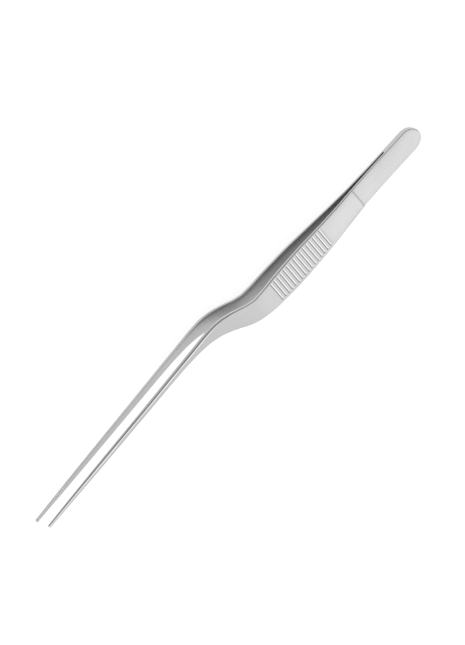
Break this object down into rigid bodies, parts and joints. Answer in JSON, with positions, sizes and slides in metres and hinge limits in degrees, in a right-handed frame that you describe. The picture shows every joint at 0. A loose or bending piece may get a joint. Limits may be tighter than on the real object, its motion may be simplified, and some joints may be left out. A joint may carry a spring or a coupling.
{
  "type": "bayonet tweezers",
  "caption": "Long bayonet tweezers with an offset crank, grooved finger grips and slim tips toothed inside. The sprung arms close when squeezed.",
  "frame": {"origin": "centre of the whole tool's box at rest, on the plane between the arms", "axes": "+X from the rear end to the tips, +Z the way the upper arm opens, the crank offsets the tips towards -Y"},
  "size_m": [0.25, 0.0196, 0.0148],
  "materials": {
    "satin_steel": "satin, ground and blasted",
    "plain_steel": "satin",
    "weld_metal": "ground flush"
  },
  "bodies": {
    "tang": {"upper_tang": "satin_steel", "lower_tang": "satin_steel", "rear_spacer": "plain_steel", "spot_weld_rear": "weld_metal", "spot_weld_front": "weld_metal", "seam_weld_upper": "weld_metal", "seam_weld_lower": "weld_metal"},
    "upper_arm": {"upper_arm": "satin_steel"},
    "lower_arm": {"lower_arm": "satin_steel"}
  },
  "joints": [
    {"name": "upper_leaf_bend", "type": "hinge", "parent": "tang", "child": "upper_arm", "pos_m": [-0.083, 0.0032, 0.00187], "axis": [0, 1, 0], "range_deg": [0, 1.45], "stiffness_Nm_per_rad": 8},
    {"name": "lower_leaf_bend", "type": "hinge", "parent": "tang", "child": "lower_arm", "pos_m": [-0.083, 0.0032, -0.00187], "axis": [0, -1, 0], "range_deg": [0, 1.45], "stiffness_Nm_per_rad": 8}
  ]
}
